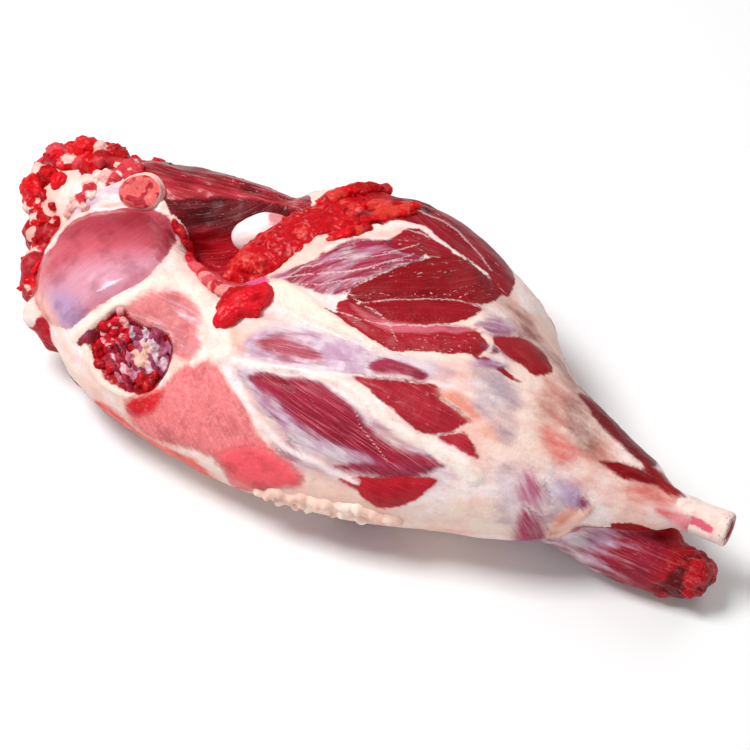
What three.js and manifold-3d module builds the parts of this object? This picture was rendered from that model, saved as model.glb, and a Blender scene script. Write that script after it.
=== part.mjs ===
// Raw leg of lamb, lying on its outer side with the inner face up, its bones showing at both ends.
// Millimetres, +Z up. While it is being shaped, x runs along the leg from the wide end to the sawn
// shank bone, y runs across it and z is the height above the board.
import * as THREE from "three";
import { mergeVertices } from "three/addons/utils/BufferGeometryUtils.js";
import Module from "manifold-3d";

const wasm = await Module();
wasm.setup();

// ---- driving dimensions ----
const BONE_WIDTH = 17; // shaft of the shank bone
const SEAT_GAP = 0.3; // between a bone and the flesh that holds it
const REACH = 150; // how far from its core a surface is looked for
const SEARCH_STEP = 2;
const HALVINGS = 14;

const v = (x, y, z) => new THREE.Vector3(x, y, z);

// ---- fields: the distance outside a shape, negative inside it ----

// A belly is an egg of muscle between two ends, with its width across and its depth.
function belly(from, to, width, depth, lean = 0) {
  const axis = to.clone().sub(from);
  const half = axis.length() / 2;
  axis.normalize();
  const side = new THREE.Vector3().crossVectors(v(0, 0, 1), axis).normalize();
  side.applyAxisAngle(axis, THREE.MathUtils.degToRad(lean));
  const up = new THREE.Vector3().crossVectors(axis, side);
  const centre = from.clone().add(to).multiplyScalar(0.5);
  const radii = [half, width / 2, depth / 2];
  const field = (p) => {
    const d = p.clone().sub(centre);
    const q = [d.dot(axis), d.dot(side), d.dot(up)];
    const near = Math.hypot(...q.map((c, i) => c / radii[i]));
    const slope = Math.hypot(...q.map((c, i) => c / radii[i] ** 2));
    return slope ? (near * (near - 1)) / slope : -Math.min(...radii);
  };
  field.core = [from.clone().lerp(to, 0.35), from.clone().lerp(to, 0.65)];
  return field;
}

// A limb is round and tapers from one end to the other.
function limb(from, to, fromRadius, toRadius) {
  const axis = to.clone().sub(from);
  return (p) => {
    const t = THREE.MathUtils.clamp(p.clone().sub(from).dot(axis) / axis.lengthSq(), 0, 1);
    const foot = from.clone().addScaledVector(axis, t);
    return p.distanceTo(foot) - THREE.MathUtils.lerp(fromRadius, toRadius, t);
  };
}

// The lesser of two fields, with the crease between them filled.
function blend(a, b, fill) {
  const h = Math.max(fill - Math.abs(a - b), 0) / fill;
  return Math.min(a, b) - (h * h * fill) / 4;
}

// ---- skins: closed surfaces drawn onto a field ----

// A capsule round a core has each point moved along its outward ray to where the field is zero.
// Lift turns the rays upwards, so that the top gets more of the points than the flat underside.
function skin(field, core, { caps, around, along, lift = 0 }) {
  const line = new THREE.Line3(...core);
  const g = new THREE.CapsuleGeometry(1, line.distance(), caps, around, along);
  const heading = line.delta(v(0, 0, 0)).normalize();
  const turn = new THREE.Quaternion().setFromUnitVectors(v(0, 1, 0), heading);
  const middle = line.getCenter(v(0, 0, 0));
  const points = g.getAttribute("position");
  for (let i = 0; i < points.count; i++) {
    const start = v(0, 0, 0).fromBufferAttribute(points, i).applyQuaternion(turn).add(middle);
    const foot = line.closestPointToPoint(start, true, v(0, 0, 0));
    const ray = start.sub(foot).add(v(0, 0, lift)).normalize();
    const found = edge(field, foot, ray);
    points.setXYZ(i, found.x, found.y, found.z);
  }
  return g;
}

function edge(field, foot, ray) {
  const at = (r) => foot.clone().addScaledVector(ray, r);
  let inner = REACH;
  while (inner > SEARCH_STEP && field(at(inner)) > 0) inner -= SEARCH_STEP;
  let outer = inner + SEARCH_STEP;
  for (let i = 0; i < HALVINGS; i++) {
    const middle = (inner + outer) / 2;
    if (field(at(middle)) > 0) outer = middle;
    else inner = middle;
  }
  return at(inner);
}

// ---- solids ----
function solid(geometry) {
  geometry.deleteAttribute("normal");
  geometry.deleteAttribute("uv");
  const merged = mergeVertices(geometry, 1e-4);
  return new wasm.Manifold(
    new wasm.Mesh({
      numProp: 3,
      vertProperties: new Float32Array(merged.getAttribute("position").array),
      triVerts: new Uint32Array(merged.index.array),
    }),
  );
}

function geometryOf(made) {
  const mesh = made.getMesh();
  const g = new THREE.BufferGeometry();
  g.setAttribute("position", new THREE.BufferAttribute(mesh.vertProperties, 3));
  g.setIndex(new THREE.BufferAttribute(mesh.triVerts, 1));
  return g;
}

// ---- bones ----
// A bone is turned round its own line from a list of [distance along, radius] steps.
function turned(from, to, steps, facets) {
  const profile = steps.map(([along, radius]) => new THREE.Vector2(radius, along));
  const g = new THREE.LatheGeometry(profile, facets);
  const heading = to.clone().sub(from).normalize();
  g.applyQuaternion(new THREE.Quaternion().setFromUnitVectors(v(0, 1, 0), heading));
  g.translate(from.x, from.y, from.z);
  return g;
}

const SHANK = { sawn: v(439, 2, 48), knee: v(286, -4, 42), facets: 24 };
const MARROW_RADIUS = 4.5;
const MARROW_DEPTH = 1; // how far the marrow has shrunk back from the sawn face

function shankBone(grow = 0) {
  const long = SHANK.sawn.distanceTo(SHANK.knee);
  const r = BONE_WIDTH / 2 + grow;
  return solid(
    turned(SHANK.sawn, SHANK.knee, [
      [-grow, 0],
      [-grow, r],
      [1, r + 0.6],
      [16, r],
      [long * 0.45, r - 0.4],
      [long * 0.8, r + 1.6],
      [long - 6, r + 1],
      [long + grow, r - 4],
      [long + grow, 0],
    ], SHANK.facets),
  );
}

function shankMarrow(grow = 0) {
  const long = SHANK.sawn.distanceTo(SHANK.knee);
  const r = MARROW_RADIUS + grow;
  const start = grow ? -1 : MARROW_DEPTH; // the cut for it runs out through the sawn face
  return solid(
    turned(SHANK.sawn, SHANK.knee, [
      [start, 0],
      [start, r],
      [long - 12 + grow, r],
      [long - 8 + grow, 0],
    ], SHANK.facets),
  );
}

// The sawn hip bone stands out of the rump as a short stub with a rounded rim.
const HIP = { top: v(76, 20, 82), root: v(60, 42, 46), radius: 10, sawnRadius: 8, facets: 20 };

function hipBone(grow = 0) {
  const long = HIP.top.distanceTo(HIP.root);
  return solid(
    turned(HIP.top, HIP.root, [
      [-grow, 0],
      [-grow, HIP.sawnRadius + grow],
      [1.5, HIP.radius - 0.6 + grow],
      [5, HIP.radius + grow],
      [16, HIP.radius - 1.5 + grow],
      [long + grow, HIP.radius - 3 + grow],
      [long + grow, 0],
    ], HIP.facets),
  );
}

// The split aitch bone lies along the top of the valley with a gristle cap on its end.
const AITCH = belly(v(143, -6, 68), v(192, 78, 83), 40, 27, -10);
const GRISTLE = belly(v(129, 27, 66), v(153, 44, 76), 18, 18);
const grown = (field, grow) => (p) => field(p) - grow;

function gristle(grow = 0) {
  return solid(skin(grown(GRISTLE, grow), GRISTLE.core, { caps: 4, around: 14, along: 3 }));
}

function aitchBone(grow = 0) {
  return solid(skin(grown(AITCH, grow), AITCH.core, { caps: 4, around: 16, along: 8 }));
}

// ---- flesh ----
const MUSCLES = [
  belly(v(36, 12, 44), v(158, -62, 40), 96, 76), // hip dome, over the wide end
  belly(v(80, -54, 34), v(300, -42, 32), 84, 64), // flank
  belly(v(12, 16, 22), v(206, 44, 22), 104, 46), // floor of the valley
  belly(v(120, 44, 46), v(323, 29, 42), 136, 100), // topside
  belly(v(146, 64, 54), v(262, 74, 52), 56, 66), // far edge of the topside
  belly(v(112, -26, 46), v(374, -14, 40), 104, 88), // silverside
  belly(v(40, -4, 16), v(344, 12, 14), 132, 46), // outer side, pressed flat on the board
  limb(v(288, 12, 42), v(376, 4, 36), 48, 24), // knee
  limb(v(350, 2, 42), v(404, -1, 45.5), 21, 10.5), // sheath round the shank bone
];
const MUSCLE_FILL = 16;
const HOLLOWS = [
  belly(v(98, 16, 76), v(148, 40, 76), 30, 50), // valley between the rump and the topside
  belly(v(104, -80, 80), v(152, -58, 84), 40, 26), // rough hollow where the tail came away
];
const HOLLOW_FILL = 22;
const BODY_CORE = [v(84, 2, 18), v(368, 0, 20)];

const together = (parts) => (p) => parts.map((part) => part(p)).reduce((a, b) => blend(a, b, MUSCLE_FILL));
const onBoard = (field) => (p) => Math.max(field(p), -p.z);
const muscles = together(MUSCLES);

function body(p) {
  let d = muscles(p);
  for (const hollow of HOLLOWS) d = -blend(-d, hollow(p), HOLLOW_FILL);
  return d;
}

// The loin end lies behind the valley, with the thin rim that carries the hip bone.
const LOIN = together([
  belly(v(12, 33, 40), v(196, 63, 38), 58, 76),
  belly(v(-2, 13, 46), v(104, 30, 62), 46, 44),
]);
const LOIN_CORE = [v(44, 32, 24), v(150, 54, 24)];

// Muscles that stand free of the leg round the shank bone.
const CALF = together([
  belly(v(320, -20, 24), v(436, -11, 14), 30, 28),
  limb(v(392, -13, 17), v(425, -8, 15), 11, 11),
]);
const CALF_CORE = [v(350, -16, 19), v(418, -10, 15)];
const DEEP = belly(v(340, -5, 26), v(420, 1, 25), 22, 22);
const SHIN = belly(v(288, 32, 40), v(392, 5, 38), 26, 30);

// Lumps of torn meat and fat hang along the cut edge of the wide end.
const TORN_EDGE = [v(64, -54, 32), v(34, -26, 38), v(20, 2, 46), v(8, 28, 57), v(46, 41, 64)];
const LUMPS = 14;
const LUMP_RADIUS = 11;
const LUMP_STRAY = 5; // how far a lump hangs off the line of the edge

function lumps() {
  const edgeLine = new THREE.CatmullRomCurve3(TORN_EDGE);
  return Array.from({ length: LUMPS }, (_, i) => {
    const r = LUMP_RADIUS * (1 + 0.25 * Math.sin(i * 2.4));
    const at = edgeLine.getPointAt(i / (LUMPS - 1));
    const g = new THREE.SphereGeometry(r, 10, 6);
    g.scale(1, 0.85, 1.2);
    g.rotateX(i);
    g.translate(at.x, at.y + LUMP_STRAY * Math.sin(i * 4.1), at.z + LUMP_STRAY * Math.sin(i * 1.7));
    return solid(g);
  });
}

function flesh(bones) {
  let made = solid(skin(onBoard(body), BODY_CORE, { caps: 11, around: 44, along: 30, lift: 0.45 }));
  made = made.add(solid(skin(onBoard(LOIN), LOIN_CORE, { caps: 7, around: 26, along: 12, lift: 0.4 })));
  made = made.add(solid(skin(onBoard(CALF), CALF_CORE, { caps: 4, around: 16, along: 8 })));
  for (const muscle of [DEEP, SHIN])
    made = made.add(solid(skin(muscle, muscle.core, { caps: 4, around: 12, along: 5 })));
  for (const lump of lumps()) made = made.add(lump);
  for (const bone of bones) made = made.subtract(bone(SEAT_GAP));
  return made;
}

// ---- the leg ----
const PIECES = [
  ["leg_flesh", flesh([shankBone, hipBone, aitchBone, gristle]), { color: 0x9c2a33, roughness: 0.35 }],
  ["shank_bone", shankBone().subtract(shankMarrow(SEAT_GAP)), { color: 0xe9d3c6, roughness: 0.45 }],
  ["shank_marrow", shankMarrow(), { color: 0xc86a6c, roughness: 0.4 }],
  ["hip_bone", hipBone(), { color: 0xd99a8e, roughness: 0.45 }],
  ["aitch_bone", aitchBone().subtract(gristle(SEAT_GAP)), { color: 0xc22a26, roughness: 0.45 }],
  ["gristle_cap", gristle(), { color: 0xf0e4dc, roughness: 0.3 }],
];

const leg = new THREE.Group();
for (const [name, made, look] of PIECES) {
  const mesh = new THREE.Mesh(geometryOf(made), new THREE.MeshStandardMaterial(look));
  mesh.name = name;
  leg.add(mesh);
}

// The finished leg stands on the middle of its own outline.
const outline = new THREE.Box3().setFromObject(leg);
const middle = outline.getCenter(v(0, 0, 0));
for (const mesh of leg.children) mesh.geometry.translate(-middle.x, -middle.y, -outline.min.z);
export default leg;
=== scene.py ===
# The looks of a raw leg of lamb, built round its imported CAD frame. Blender works in metres. The outlines on
# the inner face are in millimetres, on a plane that faces the way the inner face looks, as (u, v).
import math

import bmesh
import bpy
import numpy as np
from mathutils import Matrix, Vector
from mathutils.bvhtree import BVHTree


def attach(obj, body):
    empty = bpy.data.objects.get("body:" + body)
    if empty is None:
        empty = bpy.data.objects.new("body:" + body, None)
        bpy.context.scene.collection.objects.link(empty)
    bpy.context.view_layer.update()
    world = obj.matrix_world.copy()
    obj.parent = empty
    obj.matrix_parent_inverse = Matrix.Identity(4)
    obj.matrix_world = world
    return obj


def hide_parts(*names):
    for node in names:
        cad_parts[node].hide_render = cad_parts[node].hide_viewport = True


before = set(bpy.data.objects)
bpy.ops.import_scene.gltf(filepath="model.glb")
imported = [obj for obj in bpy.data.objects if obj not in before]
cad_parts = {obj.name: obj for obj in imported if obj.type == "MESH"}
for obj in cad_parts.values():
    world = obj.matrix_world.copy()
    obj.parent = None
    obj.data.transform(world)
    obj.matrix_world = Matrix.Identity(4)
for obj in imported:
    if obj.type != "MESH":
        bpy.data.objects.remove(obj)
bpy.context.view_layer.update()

# ---- the face plane ----
MM = 0.001
AIM = Vector((0.0174, -0.0080, 0.045))  # the middle of the inner face
FACE_TURN = math.radians(31.1)  # how far the face plane looks round from the near side towards the shank
FACE_TILT = math.radians(50)  # how far it looks up
CAMERA_DISTANCE = 1.101
LENS = 100

FACE_RIGHT = np.array([math.cos(FACE_TURN), math.sin(FACE_TURN), 0])
LEVEL = math.cos(FACE_TILT)
FACE_OUT = np.array([math.sin(FACE_TURN) * LEVEL, -math.cos(FACE_TURN) * LEVEL, math.sin(FACE_TILT)])
FACE_UP = np.cross(FACE_OUT, FACE_RIGHT)
ORIGIN_MM = np.array([18.4, -7.5, 45.0])


def add_camera():
    """The camera looks straight at the face plane."""
    data = bpy.data.cameras.new("camera")
    data.lens = LENS
    data.clip_end = 20
    camera = bpy.data.objects.new("camera", data)
    axes = Matrix((FACE_RIGHT, FACE_UP, FACE_OUT)).transposed().to_4x4()
    camera.matrix_world = Matrix.Translation(AIM + Vector(FACE_OUT) * CAMERA_DISTANCE) @ axes
    bpy.context.scene.collection.objects.link(camera)
    bpy.context.scene.camera = camera


add_camera()

# ---- colours, as they look ----
CREAM = "#F8E6DB"
FAT_PINK = "#F3C9BE"
CRIMSON = "#A01A28"
SINEW_WHITE = "#F4D6D6"
BRIGHT_MEAT = ("#CC0410", "#D80A16", "#B0020A", "#DC1420")
TORN_MIX = BRIGHT_MEAT + BRIGHT_MEAT + ("#F2C4BA", "#D8404A")
FAT_MIX = ("#F4D2C8", "#F8E4DC", "#D03A44", "#F0B8B0")


def linear(colour):
    """A hex colour as linear red, green and blue."""
    parts = np.array([int(colour[i : i + 2], 16) for i in (1, 3, 5)]) / 255
    return np.where(parts <= 0.04045, parts / 12.92, ((parts + 0.055) / 1.055) ** 2.4)


# ---- numbers over many points ----
def smooth(x, low, high):
    """0 below low, 1 above high and an even S between them."""
    t = np.clip((x - low) / (high - low), 0, 1)
    return t * t * (3 - 2 * t)


class Noise:
    """Smooth random numbers from 0 to 1 over space, the same on every run."""

    SIZE = 32  # cells before the numbers repeat
    SHIFT = 7.3  # how far each octave is moved on, so that no two line up

    def __init__(self, seed):
        self.grid = np.random.default_rng(seed).random((self.SIZE,) * 3)

    def __call__(self, points, scale, octaves=1):
        total, weight, share = 0, 0, 1
        for octave in range(octaves):
            total = total + share * self.once(points / scale * 2**octave + self.SHIFT * octave)
            weight += share
            share *= 0.5
        return total / weight

    def once(self, q):
        cell = np.floor(q).astype(int)
        f = q - cell
        f = f * f * (3 - 2 * f)
        out = 0
        for corner in np.ndindex(2, 2, 2):
            at = (cell + corner) % self.SIZE
            share = np.prod(np.where(corner, f, 1 - f), axis=1)
            out = out + share * self.grid[at[:, 0], at[:, 1], at[:, 2]]
        return out


NOISE = Noise(11)


def rounded(points, closed=True, steps=6):
    """A smooth line through a few points."""
    p = np.array(points, float)
    if closed:
        before, after, beyond = np.roll(p, 1, 0), np.roll(p, -1, 0), np.roll(p, -2, 0)
    else:
        ends = np.vstack([2 * p[0] - p[1], p, 2 * p[-1] - p[-2]])
        before, p, after, beyond = ends[:-3], ends[1:-2], ends[2:-1], ends[3:]
    line = []
    for t in np.arange(steps) / steps:
        start = 2 * p + (after - before) * t
        middle = (2 * before - 5 * p + 4 * after - beyond) * t**2
        end = (3 * p - before - 3 * after + beyond) * t**3
        line.append(0.5 * (start + middle + end))
    line = np.stack(line, 1).reshape(-1, p.shape[1])
    return line if closed else np.vstack([line, after[-1:]])


def to_segment(q, a, b):
    """How far each point is from a straight segment, and how far along it that is."""
    d = b - a
    t = np.clip(((q - a) @ d) / max(d @ d, 1e-9), 0, 1)
    return np.linalg.norm(q - a - t[:, None] * d, axis=1), t


def depth_inside(q, outline, reach=9.0):
    """How deep each point lies inside a closed outline, in mm, and below zero outside it."""
    line = rounded(outline)
    out = np.full(len(q), -reach)
    near = np.all((q > line.min(0) - reach) & (q < line.max(0) + reach), axis=1)
    p = q[near]
    distance = np.full(len(p), np.inf)
    inside = np.zeros(len(p), bool)
    for a, b in zip(line, np.roll(line, -1, 0)):
        distance = np.minimum(distance, to_segment(p, a, b)[0])
        crosses = (a[1] > p[:, 1]) != (b[1] > p[:, 1])
        rise = b[1] - a[1] if b[1] != a[1] else 1e-9
        inside ^= crosses & (p[:, 0] < (b[0] - a[0]) * (p[:, 1] - a[1]) / rise + a[0])
    out[near] = np.where(inside, distance, -distance)
    return np.maximum(out, -reach)


def off_line(q, points, reach=12.0):
    """How far each point is from an open line, in mm, up to a reach."""
    line = rounded(points, closed=False)
    distance = np.full(len(q), reach)
    for a, b in zip(line[:-1], line[1:]):
        distance = np.minimum(distance, to_segment(q, a, b)[0])
    return distance


def depth_in_strip(q, points, reach=9.0):
    """How deep points lie inside a strip, in mm, its line given as (u, v, half its width)."""
    line = rounded(points, closed=False)
    depth = np.full(len(q), -reach)
    near = np.all((q > line[:, :2].min(0) - reach * 2) & (q < line[:, :2].max(0) + reach * 2), axis=1)
    p = q[near]
    best = depth[near]
    for a, b in zip(line[:-1], line[1:]):
        distance, t = to_segment(p, a[:2], b[:2])
        best = np.maximum(best, a[2] + (b[2] - a[2]) * t - distance)
    depth[near] = best
    return depth


# A leaf's outline: how far along it each point lies, and how far to its side as a share of its width.
LEAF = [(0, 0), (0.22, 0.36), (0.5, 0.5), (0.78, 0.36), (1, 0), (0.78, -0.36), (0.5, -0.5), (0.22, -0.36)]


def leaf(start, end, width, bend=0.0):
    """The outline of a leaf between two points, bent to its left by bend."""
    a, b = np.array(start, float), np.array(end, float)
    d = b - a
    side = np.array([-d[1], d[0]]) / np.linalg.norm(d)
    return [tuple(a + d * t + side * (w * width + bend * 4 * t * (1 - t))) for t, w in LEAF]


# ---- meshes ----
def mesh_points(mesh):
    co = np.empty(len(mesh.vertices) * 3, np.float32)
    mesh.vertices.foreach_get("co", co)
    return co.reshape(-1, 3).astype(float)


def mesh_normals(mesh):
    out = np.empty(len(mesh.vertices) * 3, np.float32)
    mesh.vertex_normals.foreach_get("vector", out)
    return out.reshape(-1, 3).astype(float)


def move_points(mesh, points):
    mesh.vertices.foreach_set("co", points.astype(np.float32).ravel())
    mesh.update()


def swell(piece, points, normals, lift):
    """Moves the points of a skin out along its normals, by a lift in mm."""
    move_points(piece.data, points + normals * lift[:, None] * MM)


def new_piece(name, mesh):
    piece = bpy.data.objects.new(name, mesh)
    bpy.context.scene.collection.objects.link(piece)
    return piece


def even_skin(name, source, voxel, relax):
    """A mesh's surface again, in even faces about a voxel in mm wide, with its corners relaxed."""
    mesh = source.copy()
    bm = bmesh.new()
    bm.from_mesh(mesh)
    bmesh.ops.remove_doubles(bm, verts=bm.verts, dist=1e-6)
    bm.to_mesh(mesh)
    bm.free()
    piece = new_piece(name, mesh)
    remesh = piece.modifiers.new("even", "REMESH")
    remesh.mode = "VOXEL"
    remesh.voxel_size = voxel * MM
    soften = piece.modifiers.new("soften", "SMOOTH")
    soften.factor = 0.5
    soften.iterations = relax
    evaluated = piece.evaluated_get(bpy.context.evaluated_depsgraph_get())
    finished = bpy.data.meshes.new_from_object(evaluated)
    piece.modifiers.clear()
    piece.data = finished
    finished.materials.clear()
    finished.shade_smooth()
    return piece


def node_skin(name, node, voxel, relax):
    """A node's surface in even faces: the piece, its points in metres and in mm, and the ways they face."""
    piece = even_skin(name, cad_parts[node].data, voxel, relax)
    points = mesh_points(piece.data)
    return piece, points, points / MM, mesh_normals(piece.data)


VALUE_KINDS = {1: ("FLOAT", "value"), 3: ("FLOAT_VECTOR", "vector"), 4: ("FLOAT_COLOR", "color")}


def write_values(mesh, **values):
    """Keeps a value, colour or vector for each point of a mesh, for its material to read."""
    for name, value in values.items():
        kind, field = VALUE_KINDS[1 if value.ndim == 1 else value.shape[1]]
        attribute = mesh.attributes.new(name, kind, "POINT")
        attribute.data.foreach_set(field, value.astype(np.float32).ravel())


def opaque(colours):
    """Colours with an alpha of 1."""
    return np.column_stack([colours, np.ones(len(colours))])


def evenly(colour, count):
    """One colour for each of a number of points."""
    return opaque(np.tile(linear(colour), (count, 1)))


# ---- shader building ----
LEG_TURN = (0.0, 0.12, -0.10)  # turns the leg's long line on to x


def new_material(name):
    material = bpy.data.materials.new(name)
    material.use_nodes = True
    nodes = material.node_tree.nodes
    return material, material.node_tree, nodes["Principled BSDF"]


def add_node(tree, kind, inputs=(), **settings):
    """A node with its settings, and its inputs given as values or as sockets to link from."""
    node = tree.nodes.new(kind)
    for key, value in settings.items():
        setattr(node, key, value)
    for key, value in dict(inputs).items():
        if isinstance(value, bpy.types.NodeSocket):
            tree.links.new(value, node.inputs[key])
        else:
            node.inputs[key].default_value = value
    return node


def attribute(tree, name, output="Fac"):
    return add_node(tree, "ShaderNodeAttribute", attribute_name=name).outputs[output]


def sum_of(tree, operation, a, b=0.0, c=0.0):
    """The result of one operation on two or three numbers."""
    return add_node(tree, "ShaderNodeMath", {0: a, 1: b, 2: c}, operation=operation).outputs[0]


def times(tree, a, b):
    return sum_of(tree, "MULTIPLY", a, b)


def plus(tree, a, b):
    return sum_of(tree, "ADD", a, b)


def times_plus(tree, a, b, c):
    """a times b, plus c."""
    return sum_of(tree, "MULTIPLY_ADD", a, b, c)


def centred(tree, value):
    """A value from 0 to 1 moved to lie round 0."""
    return sum_of(tree, "SUBTRACT", value, 0.5)


def spread(tree, value, low, high, to_low=0.0, to_high=1.0):
    """to_low below low, to_high above high and an even S between them."""
    node = add_node(
        tree,
        "ShaderNodeMapRange",
        {"Value": value, "From Min": low, "From Max": high, "To Min": to_low, "To Max": to_high},
        interpolation_type="SMOOTHSTEP",
    )
    return node.outputs["Result"]


def mixed(tree, share, a, b, blend="MIX"):
    """Two colours mixed, each given as a socket or as a hex colour."""
    node = add_node(tree, "ShaderNodeMix", {"Factor": share}, data_type="RGBA", blend_type=blend)
    for socket, value in ((node.inputs[6], a), (node.inputs[7], b)):
        if isinstance(value, bpy.types.NodeSocket):
            tree.links.new(value, socket)
        else:
            socket.default_value = (*linear(value), 1)
    return node.outputs[2]


def shaded(tree, share, colour, shade):
    """A colour multiplied by a shade where share is high."""
    return mixed(tree, share, colour, mixed(tree, 1, colour, shade, "MULTIPLY"))


def noise(tree, vector, scale, detail=3.0, roughness=0.55):
    node = add_node(
        tree,
        "ShaderNodeTexNoise",
        {"Vector": vector, "Scale": scale, "Detail": detail, "Roughness": roughness},
    )
    return node.outputs["Fac"]


def stretched(tree, vector, factors):
    return add_node(tree, "ShaderNodeVectorMath", {0: vector, 1: factors}, operation="MULTIPLY").outputs[0]


def grain_noise(tree, grain, along, across, detail):
    """Noise drawn out along the grain."""
    return noise(tree, stretched(tree, grain, (along, across, 1)), 1, detail)


def position(tree):
    return add_node(tree, "ShaderNodeTexCoord").outputs["Object"]


def along_leg(tree, place, factors):
    """Object coordinates turned to run from the wide end to the shank, and stretched."""
    turn = {"Vector": place, "Rotation": LEG_TURN}
    turned = add_node(tree, "ShaderNodeMapping", turn, vector_type="POINT")
    return stretched(tree, turned.outputs[0], factors)


def new_group(name, vector, values, results):
    """A node group that takes a vector and some values with their defaults, and puts out some values."""
    group = bpy.data.node_groups.new(name, "ShaderNodeTree")
    group.interface.new_socket(vector, in_out="INPUT", socket_type="NodeSocketVector")
    for label, default in values.items():
        socket = group.interface.new_socket(label, in_out="INPUT", socket_type="NodeSocketFloat")
        socket.default_value = default
    for label in results:
        group.interface.new_socket(label, in_out="OUTPUT", socket_type="NodeSocketFloat")
    return group, group.nodes.new("NodeGroupInput").outputs, group.nodes.new("NodeGroupOutput").inputs


def fibre_group():
    """Muscle fibres drawn out along the grain: broad bands, fine pale threads and rows of white flecks."""
    values = {"Strength": 0.5, "Flecks": 0.2}
    results = ("Streak", "Threads", "Flecks", "Height")
    group, given, out = new_group("muscle_fibres", "Grain", values, results)
    grain, strength = given["Grain"], given["Strength"]
    broad = grain_noise(group, grain, 0.035, 0.30, 3)
    fine = grain_noise(group, grain, 0.05, 1.7, 2)
    streak = times_plus(group, broad, 0.5, times(group, fine, 0.5))
    threads = times(group, spread(group, fine, 0.52, 0.70), strength)
    speck = spread(group, grain_noise(group, grain, 0.35, 1.3, 2), 0.62, 0.70)
    rows = spread(group, grain_noise(group, grain, 0.02, 0.25, 1), 0.45, 0.62)
    flecks = times(group, speck, times(group, rows, given["Flecks"]))
    height = times(group, streak, plus(group, strength, 0.15))
    for label, socket in zip(results, (streak, threads, flecks, height)):
        group.links.new(socket, out[label])
    return group


def wet_group():
    """The unevenness of a damp cut surface: a roughness that comes and goes, and small pits for the bump."""
    values = {"Roughness": 0.35, "Grit": 0.3}
    group, given, out = new_group("damp_surface", "Position", values, ("Roughness", "Height"))
    place = given["Position"]
    patches = centred(group, noise(group, place, 90, 3))
    rough = times_plus(group, patches, 0.22, given["Roughness"])
    grit = noise(group, place, 700, 3, 0.6)
    group.links.new(sum_of(group, "MAXIMUM", rough, 0.08), out["Roughness"])
    group.links.new(times(group, grit, given["Grit"]), out["Height"])
    return group


FIBRES = fibre_group()
WET = wet_group()


def placed(tree, group, **inputs):
    """A node group placed in a material, with its inputs given as values or as sockets."""
    node = tree.nodes.new("ShaderNodeGroup")
    node.node_tree = group
    for name, value in inputs.items():
        if isinstance(value, bpy.types.NodeSocket):
            tree.links.new(value, node.inputs[name])
        else:
            node.inputs[name].default_value = value
    return node.outputs


def damp(tree, shader, place, colour, roughness, grit):
    """Feeds a shader the colour and roughness of a damp surface, and gives the height of its pits."""
    wet = placed(tree, WET, Position=place, Roughness=roughness, Grit=grit)
    tree.links.new(colour, shader.inputs["Base Color"])
    tree.links.new(wet["Roughness"], shader.inputs["Roughness"])
    return wet["Height"]


def bumped(tree, shader, height, distance):
    bump = add_node(tree, "ShaderNodeBump", {"Height": height, "Distance": distance})
    tree.links.new(bump.outputs["Normal"], shader.inputs["Normal"])


def moist(shader, subsurface, coat, coat_roughness=0.18, specular=0.13):
    """Sets the plain values that every damp surface of the leg shares."""
    shader.inputs["Subsurface Weight"].default_value = subsurface
    shader.inputs["Subsurface Radius"].default_value = (1.0, 0.35, 0.22)
    shader.inputs["Subsurface Scale"].default_value = 0.004
    shader.inputs["Coat Weight"].default_value = coat
    shader.inputs["Coat Roughness"].default_value = coat_roughness
    shader.inputs["Specular IOR Level"].default_value = specular


def muscle_colour(tree, place, grain):
    """The colour of bare muscle, and the height of its fibres."""
    fibre = attribute(tree, "fibre")
    fibres = placed(tree, FIBRES, Grain=grain, Strength=fibre, Flecks=attribute(tree, "fleck"))
    colour = attribute(tree, "lean_tint", "Color")
    cloud = spread(tree, noise(tree, place, 75, 3), 0.32, 0.56, 0.36, 0)
    colour = shaded(tree, cloud, colour, "#9C2430")
    banded = spread(tree, fibres["Streak"], 0.36, 0.52, 0.9, 0)
    banded = times(tree, banded, times_plus(tree, fibre, 0.55, 0.02))
    colour = shaded(tree, banded, colour, "#9A4650")
    lighter = add_node(tree, "ShaderNodeVectorMath", {0: colour, "Scale": 2.4}, operation="SCALE").outputs[0]
    thread = mixed(tree, 0.36, lighter, SINEW_WHITE)
    colour = mixed(tree, times(tree, fibres["Threads"], 0.55), colour, thread)
    beads = times_plus(tree, noise(tree, place, 700, 2, 0.6), 0.8, attribute(tree, "sinew"))
    white = sum_of(tree, "MAXIMUM", fibres["Flecks"], spread(tree, beads, 1.05, 1.35, 0, 0.5))
    colour = mixed(tree, white, colour, SINEW_WHITE)
    grains = noise(tree, place, 430, 5, 0.75)
    grit = attribute(tree, "grit")
    colour = shaded(tree, times(tree, spread(tree, grains, 0.50, 0.66, 0, 0.5), grit), colour, "#C04048")
    pale = times(tree, spread(tree, grains, 0.32, 0.48, 0.55, 0), grit)
    return mixed(tree, pale, colour, "#F6BDB6"), fibres["Height"]


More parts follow.
